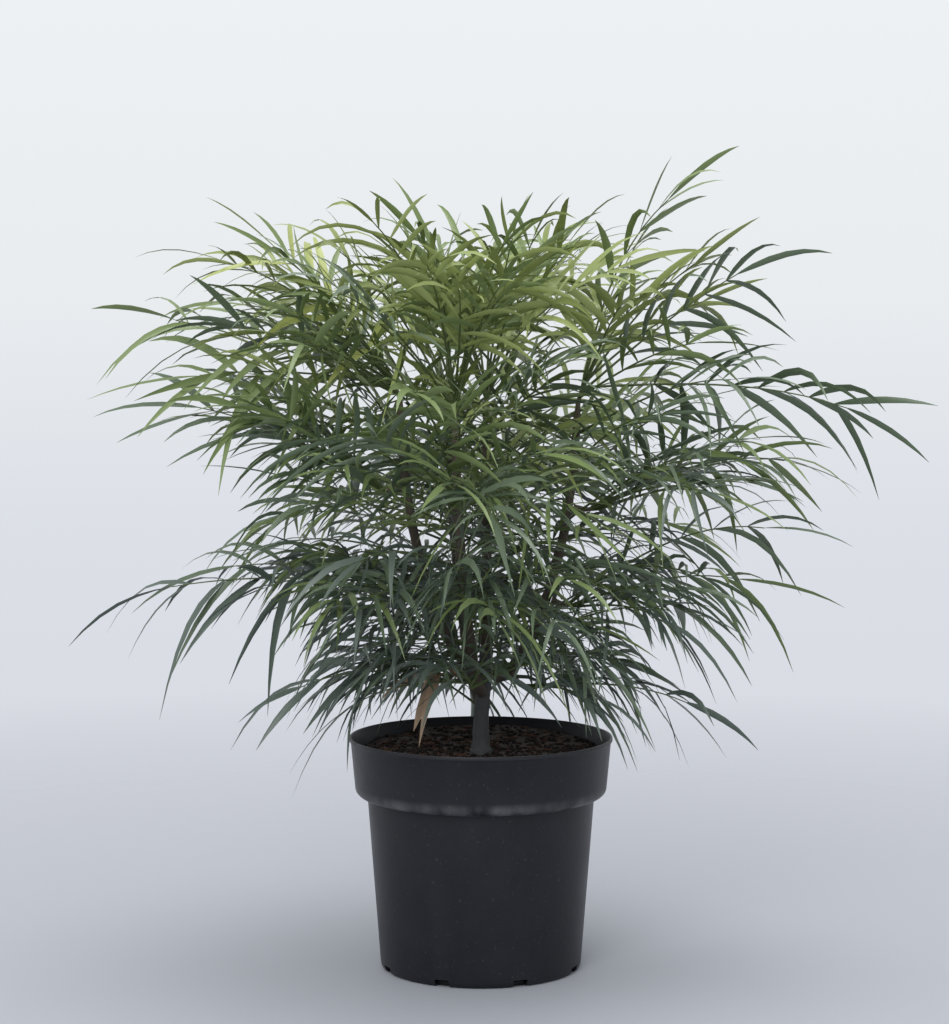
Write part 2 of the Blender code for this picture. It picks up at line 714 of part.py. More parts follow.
def main():
    """Build the pot, the soil, the limbs and the masses of fronds."""
    clear_scene()
    plastic = material("black_plastic", (0.026, 0.028, 0.033), 0.5)
    peat = material("peat", (0.022, 0.013, 0.010), 0.95)
    bark = material("bark", (0.09, 0.08, 0.07), 0.8)
    leaves = {
        "green_leaf": material("green_leaf", (0.06, 0.12, 0.03), 0.5),
        "dead_leaf": material("dead_leaf", (0.36, 0.20, 0.09), 0.8),
    }
    make_pot(plastic)
    make_soil(peat)
    stem = plan_stem()
    limbs = {cane.name: plan_cane(cane, stem) for cane in CANES}
    limbs[stem.name] = stem
    keep = Keep()
    for limb in limbs.values():
        limb.build(bark)
        keep.add(limb.name, "limb", limb.points, max(limb.radii))
    plans = [TuftPlan(tuft, limbs[tuft.cane], SEED + index) for index, tuft in enumerate(TUFTS)]
    for plan in plans:
        keep.add(plan.tuft.name, "stem", plan.stem, TUFT_STEM_RADIUS)
    for plan in plans:
        plan.grow_leaders(keep)
    for plan in plans:
        plan.grow_fan(keep)
    for plan in plans:
        plan.grow_ends(keep)
    for plan in plans:
        plan.grow_pairs(keep)
    for plan in plans:
        plan.build(leaves[plan.tuft.finish])


main()
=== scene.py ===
"""Looks of a narrow-leaved mahonia shrub that stands in a round black nursery pot.

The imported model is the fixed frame. The pot, the compost, the main stem with its
canes and every mass of leaves are dressed here at the places that the frame gives.
Metres, +Z up, the front of the plant towards -Y.
"""

import json
import logging
import math
import random
from dataclasses import dataclass
from enum import Enum

import bmesh
import bpy
import numpy as np
from mathutils import Matrix, Vector, noise

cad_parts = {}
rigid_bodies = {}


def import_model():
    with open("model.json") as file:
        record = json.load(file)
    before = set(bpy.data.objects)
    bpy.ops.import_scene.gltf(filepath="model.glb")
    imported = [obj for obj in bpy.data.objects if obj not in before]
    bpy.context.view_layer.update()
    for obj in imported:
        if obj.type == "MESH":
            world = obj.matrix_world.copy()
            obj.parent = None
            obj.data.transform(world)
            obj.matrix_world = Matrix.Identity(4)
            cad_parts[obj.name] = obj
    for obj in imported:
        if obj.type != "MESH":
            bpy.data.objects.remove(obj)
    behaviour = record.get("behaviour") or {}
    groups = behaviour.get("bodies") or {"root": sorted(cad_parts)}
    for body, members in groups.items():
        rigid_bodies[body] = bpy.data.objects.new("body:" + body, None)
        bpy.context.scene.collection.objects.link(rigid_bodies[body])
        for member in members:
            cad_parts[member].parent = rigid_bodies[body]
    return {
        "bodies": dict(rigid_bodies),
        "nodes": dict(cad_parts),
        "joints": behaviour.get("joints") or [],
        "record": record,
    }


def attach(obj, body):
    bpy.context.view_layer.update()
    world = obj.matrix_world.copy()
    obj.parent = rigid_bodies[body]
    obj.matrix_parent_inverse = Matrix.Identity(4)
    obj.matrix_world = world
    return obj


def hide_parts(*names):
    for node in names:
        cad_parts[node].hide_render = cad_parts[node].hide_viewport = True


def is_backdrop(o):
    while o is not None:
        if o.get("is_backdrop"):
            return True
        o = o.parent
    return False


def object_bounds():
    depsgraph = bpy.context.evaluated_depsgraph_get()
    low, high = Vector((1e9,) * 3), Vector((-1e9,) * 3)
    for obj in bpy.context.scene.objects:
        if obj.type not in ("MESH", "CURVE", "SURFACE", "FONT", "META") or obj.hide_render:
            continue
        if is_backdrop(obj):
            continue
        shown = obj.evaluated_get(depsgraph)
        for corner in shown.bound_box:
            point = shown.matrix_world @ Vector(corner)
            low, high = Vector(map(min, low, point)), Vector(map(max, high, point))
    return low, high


LOG = logging.getLogger("mahonia")
UP = Vector((0.0, 0.0, 1.0))
BODY = "root"

Settings = dict[str, object]
Path = list[Vector]


class Expr:
    """A shader socket that takes part in Python arithmetic and adds Math nodes as it goes."""

    def __init__(self, shading: "Shading", socket: bpy.types.NodeSocket) -> None:
        """Wrap one output socket.

        Args:
            shading: The material that the socket belongs to.
            socket: The output socket that holds the value.
        """
        self.shading = shading
        self.socket = socket

    def _math(self, operation: str, first: object, second: object) -> "Expr":
        """Add one Math node.

        Args:
            operation: The Math node's operation.
            first: Its first value or link.
            second: Its second value or link.

        Returns:
            The node's result.
        """
        return self.shading.node("ShaderNodeMath", {"operation": operation}, {0: first, 1: second})

    def __add__(self, other: object) -> "Expr":
        """Add."""
        return self._math("ADD", self, other)

    def __radd__(self, other: object) -> "Expr":
        """Add, with the value first."""
        return self._math("ADD", other, self)

    def __sub__(self, other: object) -> "Expr":
        """Subtract."""
        return self._math("SUBTRACT", self, other)

    def __rsub__(self, other: object) -> "Expr":
        """Subtract from a value."""
        return self._math("SUBTRACT", other, self)

    def __mul__(self, other: object) -> "Expr":
        """Multiply."""
        return self._math("MULTIPLY", self, other)

    def __rmul__(self, other: object) -> "Expr":
        """Multiply, with the value first."""
        return self._math("MULTIPLY", other, self)

    def above(self, edge: float) -> "Expr":
        """Give 1 where the value is above an edge, and 0 elsewhere."""
        return self._math("GREATER_THAN", self, edge)


class Shading:
    """One Principled material and the nodes that feed it."""

    def __init__(self, name: str, roughness: float, specular: float = 0.5) -> None:
        """Start a material.

        Args:
            name: The material's name.
            roughness: Its even roughness, where nothing feeds it.
            specular: Its specular level.
        """
        self.material = bpy.data.materials.new(name)
        self.material.use_nodes = True
        self.tree = self.material.node_tree
        self.shader = self.tree.nodes["Principled BSDF"]
        self.shader.inputs["Roughness"].default_value = roughness
        self.shader.inputs["Specular IOR Level"].default_value = specular

    def link(self, socket: bpy.types.NodeSocket, value: object) -> None:
        """Give a socket its link or its plain value.

        Args:
            socket: The input socket.
            value: An expression, or a number or a tuple of them.
        """
        if isinstance(value, Expr):
            self.tree.links.new(value.socket, socket)
        else:
            socket.default_value = value

    def node(self, kind: str, settings: Settings | None = None,
             inputs: dict | None = None, output: int | str = 0) -> Expr:
        """Add any node.

        Args:
            kind: The node's type.
            settings: What is set on the node first, such as an operation or a ramp's stops.
            inputs: The values or links of its sockets, by name or index.
            output: The output socket that is wanted.

        Returns:
            That output as an expression.
        """
        made = self.tree.nodes.new(kind)
        for key, value in (settings or {}).items():
            if key == "stops":
                self.set_stops(made, value)
            else:
                setattr(made, key, value)
        for key, value in (inputs or {}).items():
            self.link(made.inputs[key], value)
        return Expr(self, made.outputs[output])

    @staticmethod
    def set_stops(ramp: bpy.types.Node, stops: tuple) -> None:
        """Set a colour ramp's stops.

        Args:
            ramp: The ramp node.
            stops: Pairs of a position and a colour.
        """
        elements = ramp.color_ramp.elements
        while len(elements) < len(stops):
            elements.new(1.0)
        for element, (position, colour) in zip(elements, stops):
            element.position = position
            element.color = (*colour, 1.0)

    def place(self, scale: tuple = (1.0, 1.0, 1.0)) -> Expr:
        """Give the object's own coordinates, stretched.

        Args:
            scale: The stretch along each axis.

        Returns:
            The coordinates.
        """
        made = self.node("ShaderNodeTexCoord", output="Object")
        return self.node("ShaderNodeMapping", {}, {"Vector": made, "Scale": scale})

    def grain(self, scale: float, detail: float, where: Expr, roughness: float = 0.55) -> Expr:
        """Give a cloudy value between 0 and 1.

        Args:
            scale: How fine the clouds are, per metre.
            detail: How many finer layers there are.
            where: The coordinates.
            roughness: How strong the finer layers are.

        Returns:
            The value.
        """
        return self.node("ShaderNodeTexNoise", {}, {"Vector": where, "Scale": scale, "Detail": detail,
                                                    "Roughness": roughness})

    def blend(self, share: object, low: object, high: object) -> Expr:
        """Mix two colours.

        Args:
            share: 0 for the first colour and 1 for the second.
            low: The first colour.
            high: The second colour.

        Returns:
            The mixed colour.
        """
        low, high = (item if isinstance(item, Expr) else (*item, 1.0) for item in (low, high))
        return self.node("ShaderNodeMix", {"data_type": "RGBA"}, {0: share, 6: low, 7: high}, 2)

    def bump(self, height: Expr, strength: float, distance: float) -> None:
        """Feed the normal from a height.

        Args:
            height: The height, in shares of the distance.
            strength: The strength of the relief.
            distance: Its depth in metres.
        """
        made = self.node("ShaderNodeBump", {}, {"Height": height, "Strength": strength,
                                                "Distance": distance})
        self.link(self.shader.inputs["Normal"], made)

    def colour(self, value: object) -> None:
        """Feed the base colour from a colour or an expression."""
        self.link(self.shader.inputs["Base Color"], value if isinstance(value, Expr) else (*value, 1.0))

    def roughness(self, value: Expr) -> None:
        """Feed the roughness from an expression."""
        self.link(self.shader.inputs["Roughness"], value)


@dataclass(frozen=True)
class PotFinish:
    """Matt black moulded plastic with fine scuffs, dust and dried splashes of compost, and a painted
    highlight in a band along the rounded step.
    """

    black: tuple = (0.006, 0.0065, 0.009)
    worn: tuple = (0.018, 0.019, 0.024)
    dust: tuple = (0.050, 0.046, 0.042)
    # Painted highlight: the lighter colour of a band along the rounded step under the collar, from a foot
    # height up to a top height.
    step_highlight: tuple = (0.125, 0.123, 0.130)
    highlight_foot: float = 0.1272
    highlight_top: float = 0.1370
    highlight_gain: float = 125.0

    def make(self) -> bpy.types.Material:
        """Make the material."""
        shading = Shading("pot_plastic", 0.5, 0.24)
        where = shading.place()
        clouds = shading.grain(38.0, 6.0, where)
        flecks = shading.grain(420.0, 3.0, where)
        streaks = shading.grain(60.0, 4.0, shading.place((1.0, 1.0, 0.12)))
        worn = shading.blend(clouds * 0.7 + streaks * 0.3, self.black, self.worn)
        height = shading.node("ShaderNodeSeparateXYZ", None, {"Vector": where}, "Z")
        # Painted highlight: strongest at the band's foot and gone at its top height, broken up by the
        # streaks.
        painted_highlight = (height * -1.0 + self.highlight_top) * (height.above(self.highlight_foot) * self.highlight_gain)
        painted_highlight = painted_highlight * (streaks * 3.0 - 1.0)
        painted_highlight.socket.node.use_clamp = True
        specks = (flecks - 0.64) * 6.0
        specks.socket.node.use_clamp = True
        shading.colour(shading.blend(painted_highlight, shading.blend(specks, worn, self.dust), self.step_highlight))
        shading.roughness(clouds * 0.22 + 0.32)
        shading.bump(flecks + streaks * 0.4, 0.25, 0.0004)
        return shading.material


@dataclass(frozen=True)
class CompostFinish:
    """Dark moist compost in clumps and crumbs."""

    dark: tuple = (0.030, 0.025, 0.024)
    light: tuple = (0.130, 0.105, 0.096)

    def make(self) -> bpy.types.Material:
        """Make the material."""
        shading = Shading("compost", 0.92, 0.25)
        where = shading.place()
        clumps = shading.grain(140.0, 8.0, where, 0.7)
        crumbs = shading.grain(650.0, 4.0, where, 0.7)
        shading.colour(shading.blend(clumps * 0.7 + crumbs * 0.3, self.dark, self.light))
        shading.bump(clumps + crumbs * 0.5, 0.8, 0.0018)
        return shading.material


@dataclass(frozen=True)
class PlainFinish:
    """One even colour, for small things that lie in thousands."""

    name: str
    colour: tuple
    roughness: float
    specular: float = 0.5

    def make(self) -> bpy.types.Material:
        """Make the material."""
        shading = Shading(self.name, self.roughness, self.specular)
        shading.colour(self.colour)
        return shading.material


@dataclass(frozen=True)
class BarkFinish:
    """Grey-brown bark with long furrows and paler ridges."""

    name: str
    furrow: tuple
    ridge: tuple

    def make(self) -> bpy.types.Material:
        """Make the material."""
        shading = Shading(self.name, 0.78, 0.3)
        furrows = shading.grain(260.0, 6.0, shading.place((1.0, 1.0, 0.18)), 0.6)
        patches = shading.grain(45.0, 4.0, shading.place())
        shading.colour(shading.blend(furrows * 0.6 + patches * 0.4, self.furrow, self.ridge))
        shading.bump(furrows, 0.7, 0.0011)
        return shading.material


class LeafTint(Enum):
    """The colours of the leaves, from old ones in painted shade to young ones in painted light from above,
    and dead ones.
    """

    # Lit and shaded copies of one leaf colour, dealt by height: partly the age of the leaves, partly painted
    # light and shade.
    SHADE = PlainFinish("leaf_shade", (0.080, 0.106, 0.086), 0.42)
    DEEP = PlainFinish("leaf_deep", (0.088, 0.124, 0.072), 0.40)
    GREEN = PlainFinish("leaf_green", (0.144, 0.196, 0.068), 0.40)
    BRIGHT = PlainFinish("leaf_bright", (0.214, 0.262, 0.080), 0.38)
    YOUNG = PlainFinish("leaf_young", (0.305, 0.345, 0.096), 0.40)
    DRY = PlainFinish("leaf_dry", (0.360, 0.250, 0.165), 0.75)


@dataclass(frozen=True)
class Cane:
    """An upright limb: the height where it leaves the main stem, its side and its tip."""

    name: str
    height: float
    azimuth: float
    tip: tuple


@dataclass(frozen=True)
class Leader:
    """The aim of a frond in degrees, its length and its droop."""

    azimuth: float
    elevation: float
    length: float
    droop: float


@dataclass(frozen=True)
class Tuft:
    """One mass of fronds: its place on a cane, how it fans out, and its leading fronds."""

    name: str
    cane: str
    along: float
    azimuth: float
    elevation: float
    fan: float
    rise: float
    fronds: int
    length: float
    droop: float
    leaders: tuple = ()
    leaf_scale: float = 1.0
    sag: float = 1.0


CANES = (
    Cane("cane_centre", 0.236, 90, (0.004, 0.016, 0.400)),
    Cane("cane_left", 0.222, 176, (-0.058, -0.006, 0.405)),
    Cane("cane_right", 0.213, 6, (0.070, 0.004, 0.402)),
    Cane("cane_front", 0.204, 258, (-0.018, -0.058, 0.394)),
    Cane("cane_back", 0.195, 104, (-0.024, 0.068, 0.394)),
)

TUFTS = (
    Tuft("tuft_top", "cane_centre", 1.0, 80, 66, 150, 14, 5, 0.118, 12,
         (Leader(5, 66, 0.128, 8), Leader(186, 72, 0.102, 4))),
    Tuft("tuft_crown_left", "cane_left", 1.0, 180, 40, 62, 18, 6, 0.142, 20,
         (Leader(184, 56, 0.130, 12), Leader(179, 20, 0.168, 6), Leader(186, 8, 0.142, 12))),
    Tuft("tuft_crown_right", "cane_right", 1.0, 0, 44, 66, 20, 3, 0.120, 18,
         (Leader(3, 78, 0.160, 26), Leader(357, 41, 0.142, 8), Leader(359, 3, 0.194, 16))),
    Tuft("tuft_crown_front", "cane_front", 1.0, 266, 58, 62, 18, 6, 0.136, 22),
    Tuft("tuft_crown_back", "cane_back", 1.0, 94, 56, 62, 18, 6, 0.136, 22),
    Tuft("tuft_shoulder_left", "cane_left", 0.78, 184, 34, 50, 14, 5, 0.136, 16,
         (Leader(177, 30, 0.150, 14),)),
    Tuft("tuft_shoulder_right", "cane_right", 0.74, 356, 26, 50, 14, 5, 0.136, 18,
         (Leader(2, 26, 0.150, 26),)),
    Tuft("tuft_shoulder_front", "cane_front", 0.80, 270, 28, 60, 18, 6, 0.142, 28),
    Tuft("tuft_shoulder_back", "cane_back", 0.72, 92, 28, 60, 18, 6, 0.148, 28),
    Tuft("tuft_middle_left", "cane_left", 0.50, 186, 14, 48, 12, 5, 0.114, 18,
         (Leader(178, 12, 0.124, 14), Leader(183, 4, 0.166, 10))),
    Tuft("tuft_middle_right", "cane_right", 0.46, 354, 20, 48, 16, 4, 0.114, 24,
         (Leader(2, 36, 0.160, 32), Leader(352, 20, 0.126, 22))),
    Tuft("tuft_middle_front", "cane_front", 0.50, 270, 26, 56, 18, 6, 0.132, 28),
    Tuft("tuft_middle_back", "cane_back", 0.44, 88, 24, 58, 18, 6, 0.140, 28),
    Tuft("tuft_low_left", "cane_left", 0.12, 188, 14, 44, 8, 3, 0.100, 24,
         (Leader(192, 8, 0.112, 22),)),
    Tuft("tuft_low_right", "cane_right", 0.14, 350, 14, 46, 8, 3, 0.104, 18,
         (Leader(356, 4, 0.122, 20),)),
    Tuft("tuft_low_front", "cane_front", 0.22, 262, 34, 54, 10, 4, 0.106, 20),
    Tuft("tuft_low_back", "cane_back", 0.16, 98, 16, 50, 8, 3, 0.118, 26),
    Tuft("tuft_withered", "main_stem", 0.72, 212, 16, 30, 4, 0, 0.050, 20,
         (Leader(214, 34, 0.031, 72), Leader(262, 36, 0.020, 30)), 0.72, 1.0),
)


def direction(azimuth: float, elevation: float) -> Vector:
    """Give a unit vector.

    Args:
        azimuth: Its turn from +X towards +Y, in degrees.
        elevation: Its height above the horizon, in degrees.

    Returns:
        The vector.
    """
    turn, lift = math.radians(azimuth), math.radians(elevation)
    return Vector((math.cos(turn) * math.cos(lift), math.sin(turn) * math.cos(lift), math.sin(lift)))


def bezier(corners: tuple, count: int) -> Path:
    """Give evenly spaced points of a cubic curve.

    Args:
        corners: Its four corners.
        count: How many points are wanted.

    Returns:
        The points.
    """
    points = []
    for index in range(count):
        t = index / (count - 1)
        u = 1 - t
        points.append(corners[0] * u**3 + corners[1] * (3 * u * u * t)
                      + corners[2] * (3 * u * t * t) + corners[3] * t**3)
    return points


def smoothed(bm: bmesh.types.BMesh, name: str, angle: float = 180.0) -> bpy.types.Object:
    """Turn a bmesh into a smooth object of the scene.

    Args:
        bm: The shape, which is freed.
        name: The object's name.
        angle: The angle in degrees past which an edge stays sharp.

    Returns:
        The object.
    """
    bmesh.ops.recalc_face_normals(bm, faces=bm.faces)
    mesh = bpy.data.meshes.new(name)
    bm.to_mesh(mesh)
    bm.free()
    return shown(mesh, name, angle)


def shown(mesh: bpy.types.Mesh, name: str, angle: float) -> bpy.types.Object:
    """Put a mesh into the scene, shaded smooth.

    Args:
        mesh: The mesh.
        name: The object's name.
        angle: The angle in degrees past which an edge stays sharp.

    Returns:
        The object.
    """
    mesh.shade_smooth()
    if angle < 180.0:
        mesh.set_sharp_from_angle(angle=math.radians(angle))
    item = bpy.data.objects.new(name, mesh)
    bpy.context.scene.collection.objects.link(item)
    return item


def dress(item: bpy.types.Object, finish: bpy.types.Material, slot: str, *nodes: str) -> None:
    """Give a piece its material and its body, and hide the nodes that it stands for.

    Args:
        item: The piece.
        finish: Its material.
        slot: The record's material slot; not used.
        *nodes: The nodes that it replaces.
    """
    item.data.materials.append(finish)
    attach(item, BODY)
    if nodes:
        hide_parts(*nodes)
    LOG.info("%s: %d faces", item.name, len(item.data.polygons))


def spun(profile: list, segments: int) -> bmesh.types.BMesh:
    """Spin a profile of (radius, height) points round Z.

    Args:
        profile: The points, from the axis round to the axis.
        segments: The number of steps.

    Returns:
        The closed shape.
    """
    bm = bmesh.new()
    points = [bm.verts.new((radius, 0.0, height)) for radius, height in profile]
    edges = [bm.edges.new(pair) for pair in zip(points, points[1:])]
    bmesh.ops.spin(bm, geom=points + edges, cent=(0, 0, 0), axis=(0, 0, 1), angle=math.tau,
                   steps=segments, use_merge=True)
    bmesh.ops.remove_doubles(bm, verts=bm.verts, dist=1e-6)
    return bm


@dataclass
class NurseryPot:
    """The round nursery pot: tapered body, deep collar with a rounded step, lip and drain notches."""

    rim_radius: float = 0.0968
    height: float = 0.171
    lip: float = 0.0012
    collar_radius: float = 0.0925
    collar_foot: float = 0.134
    step_height: float = 0.127
    body_radius: float = 0.0834
    base_radius: float = 0.0740
    base_bevel: float = 0.0045
    wall: float = 0.0018
    floor: float = 0.003
    segments: int = 128
    step_points: int = 8
    notches: int = 8
    notch_size: tuple = (0.014, 0.011, 0.011)

    def step(self, inset: float) -> list:
        """Give the rounded step under the collar.

        Args:
            inset: How far the curve is moved towards the axis.

        Returns:
            Its (radius, height) points, upwards.
        """
        points = []
        for index in range(self.step_points + 1):
            turn = math.radians(90) * index / self.step_points
            radius = self.body_radius + (self.collar_radius - self.body_radius) * math.sin(turn)
            height = self.step_height + (self.collar_foot - self.step_height) * (1 - math.cos(turn))
            points.append((radius - inset, height))
        return points

    def profile(self) -> list:
        """Give the whole section of the wall and the floor, round to the axis."""
        outer = [(0.0, 0.0)]
        for index in range(5):
            turn = math.radians(90) * index / 4
            outer.append((self.base_radius - self.base_bevel * (1 - math.sin(turn)),
                          self.base_bevel * (1 - math.cos(turn))))
        outer += self.step(0.0)
        rim = [(self.rim_radius - self.lip, self.height - 3 * self.lip),
               (self.rim_radius, self.height - 2 * self.lip), (self.rim_radius, self.height - 0.5 * self.lip),
               (self.rim_radius - 0.3 * self.lip, self.height),
               (self.rim_radius - self.wall + 0.0003, self.height),
               (self.rim_radius - self.wall, self.height - 0.0004)]
        inner = [(radius, height + self.wall * 0.6) for radius, height in reversed(self.step(self.wall))]
        return outer + rim + inner + [(self.base_radius - self.wall, self.floor), (0.0, self.floor)]

    def build(self) -> None:
        """Make the pot, cut its notches and dress it."""
        pot = smoothed(spun(self.profile(), self.segments), "nursery_pot", 40.0)
        cut = bmesh.new()
        for index in range(self.notches):
            place = Matrix.Rotation(math.tau * (index + 0.5) / self.notches, 4, "Z")
            place @= Matrix.Translation((self.base_radius, 0.0, 0.0))
            place @= Matrix.Diagonal((*self.notch_size, 1.0))
            bmesh.ops.create_cube(cut, size=1.0, matrix=place)
        cutter = smoothed(cut, "notches", 30.0)
        cut_away(pot, cutter)
        pot.data.set_sharp_from_angle(angle=math.radians(40.0))
        dress(pot, PotFinish().make(), "pot", "pot")


def cut_away(item: bpy.types.Object, cutter: bpy.types.Object) -> None:
    """Cut one object by another, keep the result and remove the cutter.

    Args:
        item: The object that is cut.
        cutter: The object that cuts it.
    """
    change = item.modifiers.new("Notches", "BOOLEAN")
    change.operation = "DIFFERENCE"
    change.solver = "EXACT"
    change.object = cutter
    graph = bpy.context.evaluated_depsgraph_get()
    mesh = bpy.data.meshes.new_from_object(item.evaluated_get(graph))
    item.modifiers.clear()
    item.data = mesh
    bpy.data.objects.remove(cutter, do_unlink=True)


@dataclass
class Compost:
    """The compost: an uneven surface with crumbs and chips of bark on it."""

    top: float = 0.158
    back_slope: float = 0.11
    flat_radius: float = 0.026
    depth: float = 0.012
    radius: float = 0.0918
    rings: int = 44
    segments: int = 110
    relief: float = 0.0024
    crumbs: int = 1500
    chips: int = 260
    seed: int = 11

    def height(self, x: float, y: float) -> float:
        """Give the height of the surface.

        Args:
            x: The place to the right.
            y: The place to the back.

        Returns:
            The height above the floor.
        """
        broad = noise.noise(Vector((x * 42, y * 42, 0.3)))
        fine = noise.noise(Vector((x * 170, y * 170, 4.7)))
        calm = min(1.0, math.hypot(x, y) / 0.03)
        rise = self.back_slope * max(0.0, y - self.flat_radius)
        return self.top + rise + self.relief * (0.55 * broad + 0.35 * fine) * calm

    def surface(self) -> None:
        """Make the surface with a short skirt down the pot's wall."""
        steps = [self.radius * ring / self.rings for ring in range(self.rings, -1, -1)]
        edge = [(0.0, self.top - self.depth), (self.radius - 0.001, self.top - self.depth)]
        bm = spun(edge + [(step, self.top) for step in steps], self.segments)
        for vert in bm.verts:
            if vert.co.z > self.top - 1e-5:
                vert.co.z = self.height(vert.co.x, vert.co.y)
        dress(smoothed(bm, "compost"), CompostFinish().make(), "soil", "soil")

    def scatter(self, name: str, count: int, kind: bmesh.types.BMesh, sizes: tuple,
                finish: PlainFinish, seed: int) -> None:
        """Strew copies of a small shape over the surface.

        Args:
            name: The piece's name.
            count: How many copies lie there.
            kind: The shape, one metre across, which is freed.
            sizes: The least and the greatest size, and the flatness and length of a copy.
            finish: The finish of the copies.
            seed: The seed of their places.
        """
        least, most, flat, length = sizes
        chance = random.Random(seed)
        points = np.array([vert.co[:] for vert in kind.verts])
        faces = [[vert.index for vert in face.verts] for face in kind.faces]
        kind.free()
        placed = []
        for _ in range(count):
            reach = (self.radius - 0.002) * math.sqrt(chance.uniform(0.012, 1.0))
            turn = chance.uniform(0, math.tau)
            x, y = reach * math.cos(turn), reach * math.sin(turn)
            size = chance.uniform(least, most) * chance.uniform(0.5, 1.0)
            tilt = Matrix.Rotation(chance.uniform(0, math.tau), 3, "Z")
            tilt = tilt @ Matrix.Rotation(chance.uniform(-0.4, 0.4), 3, "X")
            tilt = tilt @ Matrix.Diagonal((length, 1.0, flat))
            spin = np.array(tilt) * size
            placed.append(points @ spin.T + np.array((x, y, self.height(x, y) + size * 0.15)))
        item = shown(copies_mesh(name, placed, faces), name, 35.0)
        dress(item, finish.make(), "soil")

    def build(self) -> None:
        """Make the surface and all that lies on it."""
        self.surface()
        ball = bmesh.new()
        bmesh.ops.create_icosphere(ball, subdivisions=1, radius=0.5)
        self.scatter("compost_crumbs", self.crumbs, ball, (0.0012, 0.0052, 0.7, 1.2),
                     PlainFinish("crumbs", (0.019, 0.013, 0.011), 0.95, 0.2), self.seed)
        for index, tint in enumerate(((0.085, 0.045, 0.030), (0.045, 0.030, 0.024))):
            chip = bmesh.new()
            bmesh.ops.create_cube(chip, size=1.0)
            self.scatter(f"bark_chips_{index}", self.chips, chip, (0.0015, 0.0042, 0.3, 2.4),
                         PlainFinish(f"bark_chips_{index}", tint, 0.9, 0.2), self.seed + 1 + index)


def copies_mesh(name: str, placed: list, faces: list) -> bpy.types.Mesh:
    """Join many placed copies of one shape into a mesh.

    Args:
        name: The mesh's name.
        placed: The points of each copy.
        faces: The faces of the shape.

    Returns:
        The mesh.
    """
    count = len(placed[0])
    shape = [np.array(face) for face in faces]
    every = [(face + index * count).tolist() for index in range(len(placed)) for face in shape]
    mesh = bpy.data.meshes.new(name)
    mesh.from_pydata(np.concatenate(placed), [], every)
    mesh.update()
    return mesh


@dataclass
class Limb:
    """A tapering limb: its path and its radii."""

    name: str
    points: Path
    radii: list

    def at(self, share: float) -> tuple:
        """Give a place on the limb.

        Args:
            share: The share of its length.

        Returns:
            The point, the radius and the direction there.
        """
        place = share * (len(self.points) - 1)
        index = min(int(place), len(self.points) - 2)
        rest = place - index
        point = self.points[index].lerp(self.points[index + 1], rest)
        radius = self.radii[index] * (1 - rest) + self.radii[index + 1] * rest
        return point, radius, (self.points[index + 1] - self.points[index]).normalized()

    def share_at(self, height: float) -> float:
        """Give the share of the limb's points at which it passes a height."""
        for index, (before, after) in enumerate(zip(self.points, self.points[1:])):
            if after.z >= height:
                rest = (height - before.z) / (after.z - before.z)
                return (index + rest) / (len(self.points) - 1)
        return 1.0


